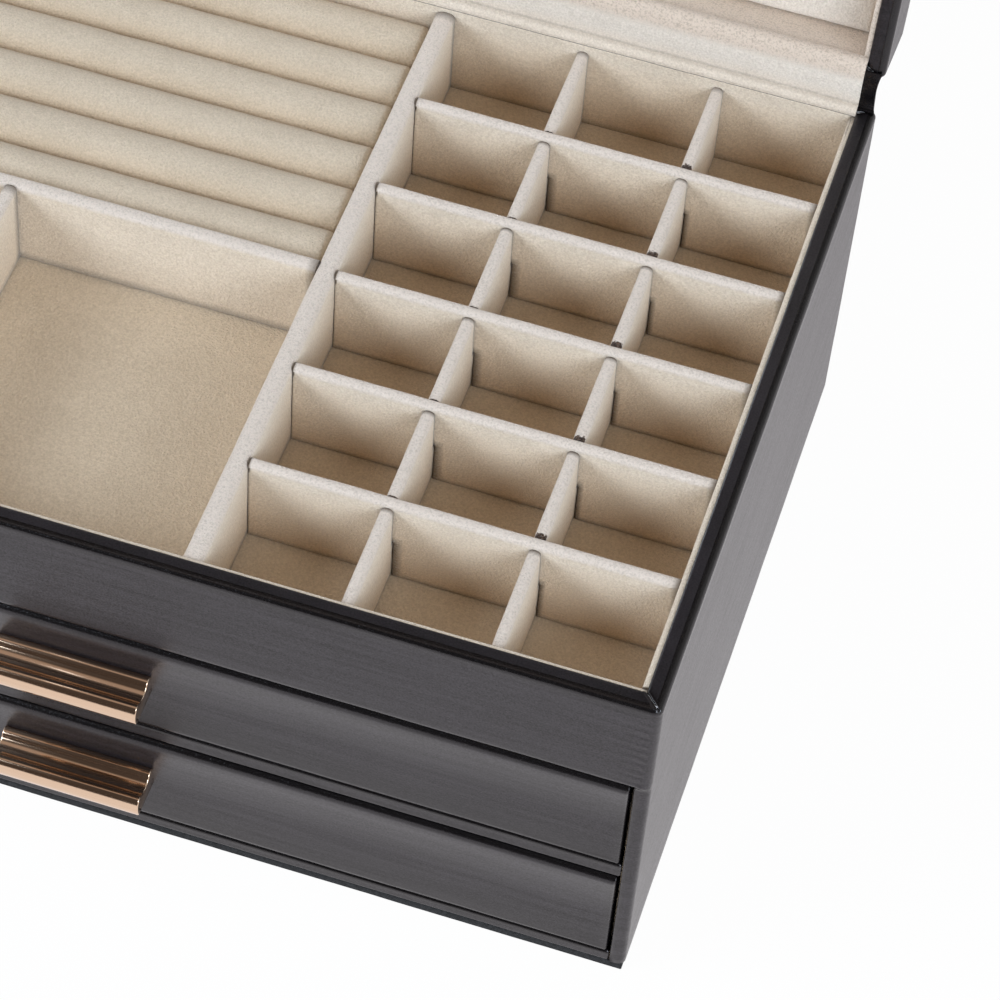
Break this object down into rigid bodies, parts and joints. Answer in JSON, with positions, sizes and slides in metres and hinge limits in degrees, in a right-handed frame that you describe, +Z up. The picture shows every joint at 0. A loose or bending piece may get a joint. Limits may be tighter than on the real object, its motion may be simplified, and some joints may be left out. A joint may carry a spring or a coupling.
{
  "type": "jewellery box",
  "caption": "Rectangular leather-covered jewellery box with an open hinged lid, a divided velvet tray with ring rolls, and drawers with metal cup pulls below.",
  "frame": {"origin": "centre of the case's underside, on the table", "axes": "+Z up, +X to the right as seen from the front, -Y towards the user, the drawers open along -Y"},
  "size_m": [0.29, 0.2943, 0.3196],
  "materials": {
    "black_leather": "fine-grained black leatherette, semi-gloss",
    "ivory_velvet": "ivory velvet, short nap",
    "board": "bare fibreboard",
    "raw_card": "greyboard block",
    "base_felt": "black pad",
    "rose_gold": "polished rose gold plating",
    "screw_steel": "zinc plated",
    "mirror_glass": "bevelled mirror"
  },
  "bodies": {
    "case": {"base_pad": "base_felt", "base_panel": "black_leather", "drawer_shelf": "black_leather", "left_side_panel": "board", "right_side_panel": "board", "back_panel": "board", "tray_front_panel": "board", "deck_panel": "board", "case_leather": "black_leather", "tray_liner_front": "ivory_velvet", "tray_liner_back": "ivory_velvet", "tray_liner_left": "ivory_velvet", "tray_liner_right": "ivory_velvet", "tray_floor_pad": "ivory_velvet", "main_divider": "ivory_velvet", "ring_divider": "ivory_velvet", "compartment_divider": "ivory_velvet", "row_divider_1": "ivory_velvet", "row_divider_2": "ivory_velvet", "row_divider_3": "ivory_velvet", "row_divider_4": "ivory_velvet", "row_divider_5": "ivory_velvet", "column_divider_1": "ivory_velvet", "column_divider_2": "ivory_velvet", "ring_roll_base": "raw_card", "ring_roll_1": "ivory_velvet", "ring_roll_2": "ivory_velvet", "ring_roll_3": "ivory_velvet", "ring_roll_4": "ivory_velvet", "ring_roll_5": "ivory_velvet", "ring_roll_6": "ivory_velvet", "hinge_leather": "black_leather", "hinge_velvet": "ivory_velvet"},
    "lid": {"lid_leather": "black_leather", "lid_top_panel": "board", "lid_left_wall": "board", "lid_right_wall": "board", "lid_front_wall": "board", "lid_back_wall": "board", "lid_liner": "ivory_velvet", "lid_pad": "ivory_velvet", "lid_mirror": "mirror_glass"},
    "upper_drawer": {"upper_drawer_front": "black_leather", "upper_drawer_left": "ivory_velvet", "upper_drawer_right": "ivory_velvet", "upper_drawer_back": "ivory_velvet", "upper_drawer_bottom": "board", "upper_drawer_pad": "ivory_velvet", "upper_drawer_handle": "rose_gold", "upper_handle_screws": "screw_steel"},
    "lower_drawer": {"lower_drawer_front": "black_leather", "lower_drawer_left": "ivory_velvet", "lower_drawer_right": "ivory_velvet", "lower_drawer_back": "ivory_velvet", "lower_drawer_bottom": "board", "lower_drawer_pad": "ivory_velvet", "lower_drawer_handle": "rose_gold", "lower_handle_screws": "screw_steel"}
  },
  "joints": [
    {"name": "lid_hinge", "type": "hinge", "parent": "case", "child": "lid", "pos_m": [0, 0.1064, 0.11705], "axis": [1, 0, 0], "range_deg": [0, 105], "deforming": ["hinge_leather", "hinge_velvet"]},
    {"name": "upper_drawer_slide", "type": "slide", "parent": "case", "child": "upper_drawer", "axis": [0, -1, 0], "range_m": [0, 0.15]},
    {"name": "lower_drawer_slide", "type": "slide", "parent": "case", "child": "lower_drawer", "axis": [0, -1, 0], "range_m": [0, 0.15]}
  ]
}
